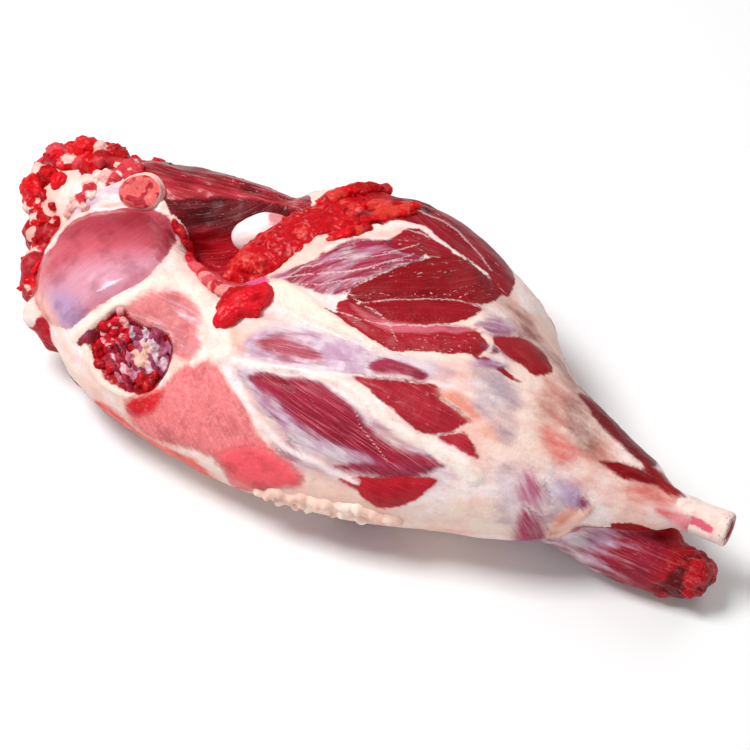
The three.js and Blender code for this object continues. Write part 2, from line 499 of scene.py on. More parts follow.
def flesh_material():
    """Muscle, fat and thin film, told apart by values kept on the mesh."""
    material, tree, shader = new_material("muscle_and_fat")
    place = position(tree)
    grain = attribute(tree, "grain", "Vector")
    muscle, fibre_height = muscle_colour(tree, place, grain)

    # film over the muscle comes and goes in long streaks
    veil = plus(tree, grain_noise(tree, grain, 0.05, 0.30, 4), attribute(tree, "film"))
    veil = spread(tree, veil, 0.82, 1.22)
    tone = spread(tree, noise(tree, place, 70, 3), 0.38, 0.62)
    film = mixed(tree, tone, "#EBDDE4", "#C9A6C0")
    muscle = mixed(tree, times(tree, veil, 0.82), muscle, film)

    # fat, blotched with pink, and thin enough in places to show what lies under it
    mottle = noise(tree, place, 110, 5, 0.62)
    fat = attribute(tree, "fat_tint", "Color")
    fat = mixed(tree, spread(tree, mottle, 0.46, 0.68, 0, 0.5), fat, FAT_PINK)
    flake = noise(tree, place, 480, 3, 0.6)
    fat = mixed(tree, spread(tree, flake, 0.52, 0.66, 0, 0.35), fat, "#EFC8B8")
    sheer_streak = noise(tree, along_leg(tree, place, (22, 115, 115)), 1, 5, 0.62)
    sheer = times_plus(tree, centred(tree, sheer_streak), 1.9, attribute(tree, "sheer"))
    sheer = spread(tree, sheer, 0.15, 1.25, 0, 0.85)
    fat = mixed(tree, sheer, fat, attribute(tree, "sheer_tint", "Color"))
    fat = mixed(tree, 1, fat, "#F9F3F1", "MULTIPLY")

    # the border between the two is ragged, and wide where film runs over it
    soft = attribute(tree, "soft")
    ragged = centred(tree, noise(tree, place, 420, 3, 0.6))
    drawn = centred(tree, grain_noise(tree, grain, 0.07, 0.55, 3))
    edge = times_plus(tree, ragged, 2.2, attribute(tree, "lean_mm"))
    edge = times_plus(tree, drawn, times(tree, soft, 2.2), edge)
    lean = spread(tree, sum_of(tree, "DIVIDE", edge, soft), -1, 1)

    rough = times_plus(tree, veil, -0.08, 0.40)
    pits = damp(tree, shader, place, mixed(tree, lean, fat, muscle), rough, 0.30)
    height = plus(tree, times(tree, fibre_height, lean), pits)
    height = times_plus(tree, mottle, 0.7, height)
    height = times_plus(tree, sheer_streak, 0.5, height)
    bumped(tree, shader, height, 0.0011)
    moist(shader, 0.06, 0.1, 0.2, 0.09)
    gloss = times_plus(tree, veil, 0.20, attribute(tree, "gloss"))
    tree.links.new(gloss, shader.inputs["Coat Weight"])
    return material


def bone_material(name, colour, blood, blood_share, subsurface, coat):
    """Damp bone or gristle: pale, with blood soaked in by patches and by a value kept on the mesh."""
    material, tree, shader = new_material(name)
    place = position(tree)
    patches = noise(tree, place, 160, 4, 0.6)
    base = mixed(tree, spread(tree, patches, 0.45, 0.72, 0, blood_share), colour, blood)
    stained = times_plus(tree, centred(tree, noise(tree, place, 380, 3)), 0.9, attribute(tree, "stain"))
    base = mixed(tree, spread(tree, stained, 0.3, 0.7), base, attribute(tree, "stain_tint", "Color"))
    pores = spread(tree, noise(tree, place, 900, 2), 0.60, 0.70)
    pores = times(tree, pores, attribute(tree, "pores"))
    base = mixed(tree, pores, base, "#6E1014")
    pits = damp(tree, shader, place, base, 0.38, 0.25)
    bumped(tree, shader, times_plus(tree, pores, -1.0, pits), 0.0005)
    moist(shader, subsurface, coat)
    return material


def fold_material():
    """Loose fat in folds: cream, pinker in patches."""
    material, tree, shader = new_material("fold_fat")
    place = position(tree)
    cloud = noise(tree, place, 120, 4)
    pinker = spread(tree, cloud, 0.42, 0.66, 0, 0.7)
    colour = mixed(tree, pinker, attribute(tree, "tint", "Color"), "#F0C0AE")
    pits = damp(tree, shader, place, colour, 0.42, 0.3)
    bumped(tree, shader, plus(tree, pits, cloud), 0.0006)
    moist(shader, 0.12, 0.08, 0.16)
    return material


def torn_material():
    """Torn meat and scraps of fat: granular and wet, coloured by a value kept on the mesh."""
    material, tree, shader = new_material("torn_meat")
    place = position(tree)
    colour = attribute(tree, "tint", "Color")
    grit = noise(tree, place, 560, 3, 0.7)
    colour = shaded(tree, spread(tree, grit, 0.50, 0.66, 0, 0.45), colour, "#C8505A")
    cloud = noise(tree, place, 140, 3)
    colour = mixed(tree, spread(tree, cloud, 0.56, 0.72, 0, 0.05), colour, "#F2A29C")
    pits = damp(tree, shader, place, colour, 0.36, 0.5)
    bumped(tree, shader, plus(tree, pits, cloud), 0.0010)
    moist(shader, 0.05, 0.14, 0.16, 0.1)
    return material


# ---- what shows on the inner face ----
# Each muscle has its outline in mm on the face plane, its colour, the way its grain runs in degrees and how
# it fans out, how much film covers it, how far it bulges in mm, its threads, flecks, grit and gloss, and how
# soft its border is in mm. What a muscle leaves out is as on a plain one.
PLAIN_MUSCLE = dict(
    grain=0, film=0.0, bulge=1.5, fibre=0.2, fleck=0.1, grit=0.0, soft=0.5, fan=0.0, gloss=0.06
)


def muscle(outline, colour, **look):
    return PLAIN_MUSCLE | dict(outline=outline, colour=colour) | look


DOME = [(-187, 45), (-186, 60), (-177, 78), (-162, 87), (-146, 91), (-131, 92), (-117, 88), (-109, 79),
        (-112, 66), (-122, 51), (-136, 42), (-150, 35), (-161, 25), (-171, 26), (-181, 33)]
HOLLOW = [(-151, 22), (-141, 31), (-134, 36), (-128, 29), (-119, 25), (-110, 23), (-106, 15), (-107, 7),
          (-111, -1), (-116, -8), (-122, -10), (-129, -9), (-137, -5), (-143, 0), (-148, 7)]
LOIN = [(-160, 118), (-137, 128), (-119, 126), (-100, 124), (-80, 116), (-60, 109), (-38, 99), (-38, 86),
        (-50, 78), (-62, 70), (-72, 54), (-84, 52), (-99, 58), (-104, 72), (-112, 84), (-118, 98),
        (-136, 113)]
STRIPED_LEAF = [(-70, 4), (-60, 3), (-51, 0), (-41, -1), (-31, -3), (-23, -7), (-14, -13), (-8, -19),
                (-3, -25), (3, -31), (12, -36), (22, -39), (33, -43), (27, -48), (16, -51), (4, -51),
                (-9, -48), (-21, -43), (-34, -37), (-45, -29), (-54, -20), (-62, -11), (-69, -2)]

INNER_MUSCLES = [
    # the loin: streaked crimson on top, and nearly black down its side in the valley, which is painted shade
    muscle([(-117, 99), (-100, 99), (-80, 99), (-60, 97), (-41, 93), (-38, 86), (-50, 78), (-62, 70),
            (-72, 54), (-84, 52), (-99, 58), (-104, 72), (-110, 82)], "#660510", grain=14, bulge=0,
           fibre=0.3, fleck=0.2, fan=-0.007, gloss=0.08),
    muscle([(-160, 118), (-137, 128), (-119, 126), (-100, 124), (-80, 116), (-60, 109), (-38, 99),
            (-39, 88), (-60, 94), (-80, 96), (-100, 96), (-117, 96), (-122, 108), (-136, 113), (-148, 112)],
           "#960E1E", grain=-17, bulge=0, fibre=0.6, fleck=0.4, gloss=0.3),
    # the dome over the hip joint, smooth under its film
    muscle(DOME, "#CC5A68", grain=40, bulge=2.5, fibre=0.14, fleck=0, soft=0.7, gloss=0.7),
    # cut folds of the topside above the hip bone's strip
    muscle([(-32, 95), (-20, 103), (0, 105), (20, 102), (33, 93), (24, 84), (6, 79), (-4, 77), (-22, 72),
            (-30, 82)], "#B4101C", grain=-18, bulge=1.0, fibre=0.2, fleck=0.15, grit=0.3),
    # the muscle along the topside's far rim
    muscle([(18, 99), (36, 94), (52, 83), (63, 73), (70, 62), (73, 50), (68, 41), (61, 45), (58, 53),
            (50, 60), (42, 65), (33, 72), (24, 78), (14, 84), (6, 92)], "#921222", grain=-38, film=0.14,
           bulge=1.2, fibre=0.25, fleck=0.6),
    # the fan of silvery film over red, and the redder meat beyond it
    muscle([(-56, 52), (-42, 57), (-32, 61), (-26, 67), (-14, 71), (4, 71), (18, 71), (24, 62), (10, 56),
            (-4, 50), (-14, 44), (-26, 42), (-40, 46)], "#A22A48", grain=22, film=0.42, bulge=1.2,
           fibre=0.6, fleck=0.7, soft=1.0, fan=0.004),
    muscle([(8, 72), (20, 78), (30, 74), (39, 67), (47, 61), (52, 56), (40, 60), (30, 62), (18, 63),
            (6, 67)], "#9A1626", grain=-14, film=0.05, bulge=1.0, fibre=0.25, fleck=0.6),
    # the deep red leaves of the topside
    muscle([(-16, 42), (-4, 49), (6, 54), (19, 59), (32, 62), (44, 61), (54, 55), (64, 44), (62, 39),
            (50, 36), (38, 38), (22, 39), (6, 38), (-8, 38)], "#8C0C18", grain=8, bulge=2.0, fibre=0.16,
           fleck=0.5, fan=-0.003),
    muscle([(-9, 37.5), (8, 38.5), (24, 39), (40, 38), (54, 34), (46, 29), (34, 26), (20, 25.5), (8, 26.5),
            (-3, 30)], "#960F1C", grain=-2, bulge=2.2, fibre=0.08, fleck=0.1),
    muscle([(-21, 37), (-14, 40), (-7, 34), (4, 27.5), (14, 25.5), (29, 25.5), (39, 25), (50, 23), (55, 18),
            (56, 14), (51, 10.5), (40, 11.5), (28, 11.5), (14, 11.5), (4, 13.5), (-4, 17.5), (-12, 23.5),
            (-19, 31)], "#A31824", grain=-8, bulge=2.2, fibre=0.12, fleck=0.35),
    muscle([(-14, 37), (-4, 31), (8, 27), (24, 26), (44, 25.5), (50, 23), (38, 20.5), (20, 21), (6, 22),
            (-8, 29)], "#CE6470", grain=-8, film=0.26, bulge=0, fibre=0.2, fleck=0.2, soft=0.9),
    # the long muscle under film between the fat seams
    muscle([(-68, 17), (-58, 24), (-44, 25), (-32, 22), (-14, 17), (4, 11), (16, 8), (30, 4), (22, -3),
            (4, -1), (-14, 1), (-32, 2), (-46, 4), (-58, 8)], "#A8566E", grain=-12, film=0.72, bulge=1.4,
           fibre=0.3, fleck=0.1, soft=2.4),
    muscle([(-62, 16), (-52, 21), (-40, 18), (-30, 12), (-26, 6), (-36, 6), (-48, 7), (-58, 11)], "#B04458",
           grain=-12, film=0.40, bulge=0.3, fibre=0.5, fleck=0.2, soft=3.5),
    muscle([(-4, 5), (4, 8), (14, 5), (26, 1), (20, -3), (8, -1), (0, 1)], "#A02C48", grain=-12, film=0.22,
           bulge=0.4, fibre=0.3, fleck=0.1, soft=2.2),
    # the striped leaf: pale film round a crimson middle
    muscle(STRIPED_LEAF, "#A8607C", grain=-34, film=0.62, bulge=2.4, fibre=0.7, fleck=0.1, soft=1.6),
    muscle([(-64, -2), (-57, 1), (-49, -1), (-40, -2), (-30, -4.5), (-22, -8.5), (-14, -14), (-8, -20),
            (-2, -27), (4, -32), (13, -37), (30, -42), (20, -46), (6, -44), (-8, -39), (-24, -32),
            (-38, -24), (-50, -14)], "#A0203A", grain=-34, film=0.16, bulge=0, fibre=0.9, fleck=0.1,
           soft=3.0),
    muscle([(-22, -46), (-10, -44), (8, -43), (24, -43), (34, -44), (24, -49), (8, -51), (-8, -49)],
           "#A02A44", grain=-34, film=0.30, bulge=0.4, fibre=0.6, fleck=0.1, soft=1.8),
    muscle([(-20, -52), (-9, -51), (9, -50), (22, -50), (30, -52), (25, -57), (19, -62), (10, -66.5),
            (0, -67), (-7, -62), (-12, -57)], "#BC1C2C", grain=-20, bulge=1.8, fibre=0.15, fleck=0.1,
           soft=0.9),
    muscle([(-51, -33), (-45, -32), (-41, -37), (-37, -42), (-43, -43), (-49, -39)], "#A66A84", grain=-50,
           film=0.45, bulge=0.4, fibre=0.4, soft=1.5),
    # the red wedges between the fat bands
    muscle([(-13, 0), (1, -2), (16, -3.5), (28, -5), (33, -9), (32, -13), (36, -16), (42, -20), (46, -23),
            (39, -27), (29, -29.5), (21, -28), (14, -23), (7, -17), (-1, -10)], "#AC2232", grain=-26,
           bulge=1.8, fibre=0.18, fleck=0.25, soft=0.8),
    muscle([(30, -30.5), (39, -28.5), (44, -29), (47, -34), (50, -41), (43, -38), (36, -34.5)], "#B02434",
           grain=-35, bulge=1.2, fibre=0.4, fleck=0.3, soft=0.9),
    muscle([(31, -8), (38, -8), (45, -13), (51, -20), (47, -23), (40, -18), (33, -13)], "#E6957F",
           grain=-40, film=0.3, bulge=0.6, fibre=0.1, fleck=0.0, soft=3.2),
    # the granular flank, its coral end and its bright patch
    muscle([(-107, -1), (-100, 5), (-92, 9), (-84, 7), (-77, 1), (-72, -7), (-68, -15), (-64, -24),
            (-60, -31), (-55, -35), (-47, -41), (-39, -49), (-38, -54), (-46, -58), (-55, -60), (-64, -61),
            (-75, -58), (-79, -50), (-86, -42), (-97, -38), (-108, -36), (-120, -32), (-130, -22),
            (-131, -14), (-122, -11), (-112, -7)], "#E67C7E", grain=-62, film=0.16, bulge=1.2, fibre=0.22,
           fleck=0.1, grit=0.6, soft=1.6),
    muscle(leaf((-84, -42), (-38, -54), 21, 1), "#F25C66", grain=-30, bulge=0.6, fibre=0.05, fleck=0.0,
          grit=0.2, soft=4),
    muscle([(-132, -13), (-122, -10), (-112, -7), (-111, -12), (-117, -19), (-126, -21)], "#DA2630",
           grain=20, bulge=0.6, fibre=0.0, fleck=0.0, grit=0.3, soft=2.4),
    # pink muscle over the hollow, and the hollow's own torn bed
    muscle([(-141, 33), (-131, 39), (-121, 43), (-111, 45), (-102, 42), (-95, 36), (-90, 31), (-93, 25),
            (-91, 15), (-92, 9), (-100, 8), (-106, 11), (-107, 20), (-112, 23), (-122, 25), (-132, 26)],
           "#E08082", grain=-25, film=0.34, bulge=1.0, fibre=0.15, fleck=0.1, grit=0.35, soft=2.4),
    muscle(HOLLOW, "#A60A18", grain=60, bulge=0, fibre=0.05, fleck=0.05, grit=0.5),
    muscle([(-158, 20), (-151, 24), (-148, 21), (-152, 15), (-157, 15)], "#8E0A16", grain=40, bulge=0.6),
    # thin meat between the layers of the near edge
    muscle([(-152, -14), (-140, -17), (-128, -27), (-112, -37), (-98, -42), (-88, -49), (-82, -57),
            (-90, -55), (-106, -47), (-124, -39), (-140, -28)], "#EE5E56", grain=-32, bulge=0.5, fibre=0.1,
           grit=0.2, soft=1.5),
    # scraps in the valley's foot
    muscle([(-102, 58), (-92, 59), (-82, 53), (-70, 49), (-63, 43), (-68, 40), (-80, 43), (-92, 51)],
           "#D04852", grain=-38, bulge=1.6, fibre=0.3, fleck=0.2),
    muscle([(-68, 54), (-60, 54), (-56, 48), (-56, 42), (-63, 43), (-69, 48)], "#DC5A86", grain=70,
           bulge=0.4, fibre=0.2, soft=1),
    # windows of dark muscle by the knee
    muscle([(58, 19), (70, 20), (79, 17), (86, 11), (89, 1), (79, 0), (72, 5), (64, 11)], "#9C121E",
           grain=-40, bulge=1.0, fibre=0.15, fleck=0.1, soft=0.8),
    muscle([(50, 27), (62, 29), (70, 24), (62, 20), (54, 22)], "#A0607C", grain=-12, film=0.42, bulge=0.4,
           fibre=0.3, soft=1.6),
    muscle(leaf((48, 6), (66, 5), 5), "#A46688", grain=-6, film=0.5, bulge=0.2, fibre=0.3, soft=1.4),
    muscle(leaf((52, 15), (62, 12), 4), "#86405A", grain=-20, film=0.3, bulge=0.2, fibre=0.3, soft=1.4),
    # mauve muscle through the shank's fat
    muscle(leaf((73, -48), (81, -69), 11), "#B85070", grain=-62, film=0.45, bulge=0.3, fibre=0.4, soft=4),
    muscle(leaf((85, -54), (101, -65), 12, 1), "#9C82B0", grain=-35, film=0.60, bulge=0.2, fibre=0.3,
          soft=4.5),
    muscle(leaf((100, -60), (105, -68), 5), "#9A4468", grain=-50, film=0.2, bulge=0.2, soft=2),
    muscle(leaf((72, -67), (82, -90), 15), "#AC3858", grain=-55, film=0.32, bulge=0.4, fibre=0.4, soft=3.5),
    muscle(leaf((88, -80), (113, -79), 8), "#A83450", grain=-8, film=0.22, bulge=0.4, fibre=0.4, soft=2.5),
    # the dark gap under the bone
    muscle([(117, -74), (125, -74), (138, -77), (150, -82), (162, -88), (160, -96), (146, -91), (132, -86),
            (122, -80)], "#A20814", grain=-20, bulge=0, fibre=0.3, fleck=0.1),
    # dark slits of muscle along the shank's far edge
    muscle([(102, -10), (110, -12), (122, -22), (136, -36), (142, -44), (137, -47), (128, -41), (118, -31),
            (108, -19)], "#780A16", grain=-45, film=0.02, bulge=0.6, fibre=0.2, fleck=0.1, soft=1.2),
    muscle([(110, -43), (123, -44), (134, -48), (143, -55), (134, -55), (121, -51)], "#8E0C18", grain=-22,
           bulge=0.6, fibre=0.2, fleck=0.1, soft=1.2),
    muscle([(133, -43), (140, -46), (147, -52), (153, -61), (143, -58), (135, -50)], "#960C14", grain=-45,
           bulge=0.6, fibre=0.2, fleck=0.1, soft=1.2),
]

# Thin film and stains on the fat: an outline, its colour, how thin the fat is there and its soft edge in mm.
SHEER_PATCHES = [
    ([(-78, 10), (-62, 32), (-40, 28), (-18, 20), (6, 13), (30, 9), (50, 6), (52, -4), (30, -4), (8, -1),
      (-14, -4), (-36, -2), (-60, 4), (-72, 6)], "#BC94A8", 0.62, 4),
    ([(-78, 6), (-60, 5), (-30, 0), (-8, -12), (10, -24), (38, -38), (40, -52), (12, -58), (-22, -54),
      (-48, -44), (-64, -24), (-74, -8)], "#B08CA6", 0.60, 5),
    ([(44, 38), (56, 42), (68, 38), (80, 22), (72, 8), (58, 0), (46, 6), (52, 16), (56, 26)],
     "#A87F98", 0.70, 5),
    ([(44, 2), (62, 2), (72, -9), (70, -20), (68, -32), (56, -34), (50, -24), (42, -10)],
     "#A08498", 0.80, 7),
    ([(-4, -24), (8, -22), (20, -32), (10, -36)], "#A06484", 0.85, 4),
    ([(76, -50), (90, -52), (100, -58), (96, -70), (80, -68)], "#AE96B4", 0.75, 6),
    ([(60, -44), (84, -44), (92, -58), (90, -84), (66, -86), (58, -66)], "#B088A6", 0.60, 7),
    ([(84, -2), (97, -8), (108, -20), (118, -40), (106, -54), (90, -44), (80, -24)], "#B85A4C", 0.90, 9),
    ([(96, -14), (102, -16), (108, -28), (106, -38), (98, -30)], "#7C2820", 0.85, 6),
    ([(84, -28), (92, -30), (106, -48), (100, -54), (88, -44)], "#D8483E", 0.90, 5),
    ([(118, -56), (134, -60), (152, -70), (156, -78), (138, -74), (120, -66)], "#DC6470", 0.80, 4),
    ([(128, -58), (150, -62), (158, -72), (150, -80), (126, -72)], "#F2C4BE", 0.60, 6),
    ([(96, -46), (112, -48), (126, -58), (136, -72), (124, -74), (106, -62)], "#DE8E88", 0.55, 6),
    ([(68, 42), (78, 32), (90, 14), (104, -2), (114, -16), (104, -14), (92, 2), (82, 10), (72, 24)],
     "#84403E", 0.95, 6),
    ([(126, -48), (140, -52), (150, -62), (136, -64), (124, -58)], "#D03838", 0.80, 5),
    ([(-178, 70), (-168, 92), (-152, 104), (-136, 112), (-128, 104), (-142, 97), (-158, 90), (-168, 78)],
     "#B294C0", 0.80, 4),
    ([(36, -30), (52, -22), (60, -40), (48, -50)], "#F0987A", 0.55, 6),
    ([(82, -82), (96, -64), (102, -63), (94, -78)], "#EC8A6C", 0.80, 4),
    ([(138, -66), (156, -71), (168, -76), (182, -83), (182, -87), (166, -83), (150, -76)],
     "#DC4A60", 1.10, 2.5),
    ([(38, -2), (46, -2), (47, -12), (40, -14)], "#F09878", 0.60, 4),
    ([(-92, 18), (-78, 25), (-66, 28), (-72, 14), (-90, 11)], "#F0A084", 0.62, 6),
    ([(-62, -60), (-30, -66), (0, -74), (40, -76), (66, -86), (40, -90), (0, -84), (-44, -74)],
     "#F0A890", 0.50, 6),
    ([(-152, -10), (-130, -24), (-100, -42), (-84, -58), (-104, -52), (-130, -40), (-150, -26)],
     "#F0A898", 0.50, 5),
    ([(-96, 40), (-84, 34), (-78, 44), (-70, 40), (-84, 28), (-96, 30)], "#F2A8A0", 0.45, 4),
    ([(-122, 74), (-110, 76), (-102, 60), (-98, 52), (-108, 50), (-116, 62)], "#F0A8A0", 0.45, 4),
    ([(-30, 68), (-10, 78), (8, 84), (24, 80), (40, 68), (46, 60), (36, 66), (18, 74), (-4, 72), (-20, 66)],
     "#E8A4AE", 0.50, 3),
]

# Raised strips of fat: a line with half its width at each point, its rise in mm and its colour.
FAT_STRIPS = [
    ([(-58, 44.5, 3.5), (-51, 43.5, 6.5), (-44, 39, 6.5), (-32, 32, 5.0), (-18, 24, 3.2), (-4, 15, 2.2),
      (8, 10, 1.2)], 2.6, "#FAECDD"),
    ([(-38, 0, 1.0), (-18, -4, 1.6), (-4, -15, 2.2), (10, -27, 2.8), (30, -38, 3.6), (48, -50, 5.0)],
     1.6, "#FBF1EA"),
    ([(-82, 9, 4.0), (-68, 6, 2.6), (-50, 3.5, 1.8), (-34, 1.5, 1.4), (-16, 0, 1.1), (0, -0.5, 0.9),
      (16, -2, 0.6)], 1.2, "#FAF2F0"),
    ([(-80, 8, 3.0), (-73, -4, 2.2), (-65, -17, 1.8), (-53, -30, 1.6), (-40, -40, 1.8), (-24, -48, 1.6),
      (-10, -54, 1.0)], 1.2, "#F8EEF0"),
    ([(-160, 20, 3.0), (-149, 30, 3.0), (-134, 39, 3.2), (-118, 48, 3.6), (-104, 50, 4.5), (-92, 42, 5.0),
      (-84, 28, 6.0), (-80, 12, 6.0)], 1.6, "#FBEEE2"),
    ([(-112, 86, 1.5), (-107, 78, 3.0), (-107, 68, 4.0), (-106, 58, 4.5), (-98, 50, 4.5)], 1.8, "#FAE2DA"),
    ([(-178, 66, 1.6), (-168, 84, 1.8), (-152, 93, 1.8), (-134, 96, 1.8), (-118, 93, 2.0)], 1.4, "#F8E4DE"),
    ([(-26, 66, 1.5), (-10, 75, 2.4), (6, 79, 2.6), (22, 78, 1.8), (36, 68, 1.2), (46, 60, 0.8)],
     1.2, "#FAEAE4"),
    ([(52, 9, 0.9), (57, 13, 1.4), (57, 19, 1.6), (52, 24, 1.2)], 0.8, "#F6D8D0"),
    ([(-153, 14, 2.0), (-147, 2, 2.2), (-140, -6, 2.2), (-130, -11, 2.0)], 1.4, "#FAE6D8"),
    ([(-96, 6, 2.0), (-88, 12, 3.0), (-84, 20, 4.0)], 1.2, "#FBEDE4"),
    ([(84, -87, 2.6), (94, -77, 2.6), (106, -66, 1.6)], 1.2, "#FACEBC"),
]

# Thin pale lines of sinew over the muscles: a line and half its width in mm.
SINEWS = [
    ([(-15, 43), (-4, 34), (4, 28), (10, 17)], 0.5),
    ([(-9, 37.5), (8, 38.5), (24, 39), (40, 38), (54, 34)], 0.35),
    ([(-19, 32), (-6, 27), (8, 25.5), (24, 25.5), (44, 25)], 0.35),
    ([(-56, 50), (-36, 52), (-10, 54), (20, 63)], 0.4),
    ([(-52, 48), (-30, 47), (-6, 50)], 0.35),
    ([(-40, 56), (-22, 60), (0, 62), (22, 68)], 0.35),
    ([(14, 76), (26, 73), (40, 65)], 0.35),
    ([(20, 88), (36, 80), (52, 66), (60, 54)], 0.4),
    ([(6, -42), (-2, -33), (-8, -24), (-12, -14)], 0.4),
]

# Creases in the meat, deep and darkened with painted shade: a line, its depth and half its width in mm.
CREASES = [
    ([(-20, 96), (-10, 88), (4, 81)], 3.0, 1.6),
    ([(-27, 84), (-16, 80), (-3, 78)], 3.0, 1.8),
    ([(-14, 93), (0, 90), (16, 90)], 1.6, 1.4),
    ([(6, 100), (18, 94), (28, 88)], 1.4, 1.2),
]

# ---- places in space, in mm ----
CALF = [(131, -23, 19), (206, -15, 15)]
DEEP = [(121, -12, 26), (201, -6, 25)]
SHIN = [(70, 24, 40), (173, -3, 38)]
TORN_EDGE = [(-155, -61, 32), (-185, -33, 38), (-199, -5, 46), (-211, 21, 57), (-173, 34, 64)]
SHANK_SAWN = np.array([220.4, -5.5, 48.0])
SHANK_KNEE = np.array([67.4, -11.5, 42.0])


def near_limb(p, ends, radius):
    """How deep points lie inside a round limb between two places, in mm."""
    return radius - to_segment(p, np.array(ends[0], float), np.array(ends[1], float))[0]


def torn_share(p):
    """1 on the torn lumps of the wide end, 0 well away from them."""
    distance = off_line(p, TORN_EDGE, reach=40)
    return smooth(-distance, -19, -12)


class Canvas:
    """The values that are painted on each point of the flesh."""

    PLAIN = dict(sheer=0.18, film=0.0, fibre=0.3, fleck=0.0, sinew=0.0, gloss=0.06, grit=0.0, soft=0.6)
    TINTS = dict(lean_tint=CRIMSON, fat_tint=CREAM, sheer_tint="#E6A49C")

    def __init__(self, points, normals):
        self.p = points / MM
        q = self.p - ORIGIN_MM
        self.flat = np.column_stack([q @ FACE_RIGHT, q @ FACE_UP])
        drift = [NOISE(self.p + 50 * k, 9, 2) - 0.5 for k in (1, 2)]
        self.warped = self.flat + 2.4 * np.column_stack(drift)
        self.facing = smooth(normals @ FACE_OUT + 0.22 * (NOISE(self.p + 70, 14, 3) - 0.5), -0.02, 0.14)
        count = len(points)
        self.lean = np.full(count, -9.0)
        for name, value in self.PLAIN.items():
            setattr(self, name, np.full(count, value))
        for name, colour in self.TINTS.items():
            setattr(self, name, np.tile(linear(colour), (count, 1)))
        self.lift = np.zeros(count)
        self.along, self.across = self.turned(-34)
        self.seed = np.zeros(count)

    def turned(self, degrees):
        """Distances along and across a grain that runs at an angle on the face plane."""
        turn = math.radians(degrees)
        along = self.flat @ np.array([math.cos(turn), math.sin(turn)])
        return along, self.flat @ np.array([-math.sin(turn), math.cos(turn)])

    def blend(self, name, share, value):
        """Mixes a value, or a hex colour, into one that is painted already."""
        old = getattr(self, name)
        if name in self.TINTS:
            share, value = share[:, None], linear(value)
        setattr(self, name, old * (1 - share) + value * share)

    def paint(self, depth, look, fade=1.0):
        """Lays a muscle's look where depth is above zero, and under the fat where it is the nearest."""
        soft = look["soft"]
        on_meat = smooth(self.lean, -0.5, 0.5)
        nearest = smooth(depth - self.lean, -0.6, 0.6) * smooth(depth, -8.8, -8.0)
        share = (nearest + (smooth(depth, -soft, soft) - nearest) * on_meat) * fade
        mine = share > 0.5
        self.blend("lean_tint", share, look["colour"])
        for name in ("film", "fibre", "fleck", "grit", "soft", "gloss"):
            self.blend(name, share, look[name])
        along, across = self.turned(look["grain"])
        if mine.any():
            across = across + look["fan"] * (along - along[mine].mean()) ** 2
        self.along = np.where(mine, along, self.along)
        self.across = np.where(mine, across, self.across)
        self.seed = np.where(mine, look["grain"] * 1.7, self.seed)
        self.lean = np.maximum(self.lean, depth - 14 * (1 - fade))
        self.lift += look["bulge"] * smooth(depth, -1.5, 6.5) * fade

    def thin(self, outline, colour, amount, soft):
        """Makes the fat thin enough over a patch to let a colour through."""
        share = smooth(depth_inside(self.warped, outline), -soft, soft) * self.facing
        self.blend("sheer", share, amount)
        self.blend("sheer_tint", np.minimum(share * 1.6, 1), colour)

    def lay_strip(self, points, rise, colour):
        """A raised strip of fat over whatever lies below."""
        depth = depth_in_strip(self.warped, points)
        self.lean = np.minimum(self.lean, 14 * (1 - self.facing) - depth)
        share = smooth(depth, -1.5, 1.5) * self.facing
        self.blend("fat_tint", share, colour)
        self.blend("sheer", share, 0.08)
        self.lift += rise * smooth(depth, -1.2, 2.4) * self.facing

    def write(self, mesh):
        values = {name: getattr(self, name) for name in self.PLAIN}
        tints = {name: opaque(getattr(self, name)) for name in self.TINTS}
        grain = np.column_stack([self.along, self.across, self.seed])
        write_values(mesh, lean_mm=self.lean, grain=grain, **values, **tints)


def paint_outer_side(canvas):
    """The outer and far sides: thin fat over muscle that shows through in long patches."""
    p = canvas.p
    away = 1 - canvas.facing
    canvas.along = np.where(away > 0.5, p[:, 0], canvas.along)
    canvas.across = np.where(away > 0.5, p[:, 1] + p[:, 2], canvas.across)
    depth = (NOISE(p / np.array([3.2, 1, 1]), 17, 3) - 0.56) * 60
    canvas.paint(depth, muscle([], "#A23442", film=0.45, bulge=0.6, fibre=0.3, soft=2.0), away)
    pink = smooth(NOISE(p + 300, 26, 2), 0.4, 0.7) * away
    canvas.blend("fat_tint", pink * 0.7, "#F2BFB0")
    canvas.blend("sheer", away, 0.35)


def paint_limbs(canvas):
    """Muscles that are bare all round: the calf, the deep muscle in the gap and the shin muscle."""
    p = canvas.p
    calf = np.where(p[:, 2] < 38, near_limb(p, CALF, 24) + smooth(p[:, 0], 150, 170) * 4, -9)
    canvas.paint(calf, muscle([], "#961C32", grain=-24, film=0.32, bulge=0, fibre=0.4, fleck=0.2, soft=1.5))
    cut_end = smooth(p[:, 0], 190, 206) * (calf > 0)
    canvas.blend("lean_tint", cut_end, "#B40E1C")
    # painted shade: the cut end is darkened in the dips of its torn relief
    canvas.blend("lean_tint", cut_end * smooth(0.5 - NOISE(p, 8, 3), 0.02, 0.1), "#62060E")
    canvas.blend("film", cut_end, 0.0)
    canvas.blend("grit", cut_end, 0.3)
    canvas.lift += cut_end * 9 * (NOISE(p, 8, 3) - 0.5)
    root = smooth(-p[:, 0], -182, -160) * (calf > 0)
    canvas.blend("film", root, 0.62)
    deep = np.where(p[:, 1] > -24, near_limb(p, DEEP, 12), -9)
    canvas.paint(deep, muscle([], "#A20814", grain=-10, bulge=0, fibre=0.3, fleck=0.1))
    shin = np.where((p[:, 1] > 6) | (p[:, 2] < 30), near_limb(p, SHIN, 16), -9)
    shin_look = muscle([], "#780C16", grain=-40, film=0.1, bulge=0, fibre=0.3, fleck=0.1)
    canvas.paint(shin, shin_look, 1 - canvas.facing)


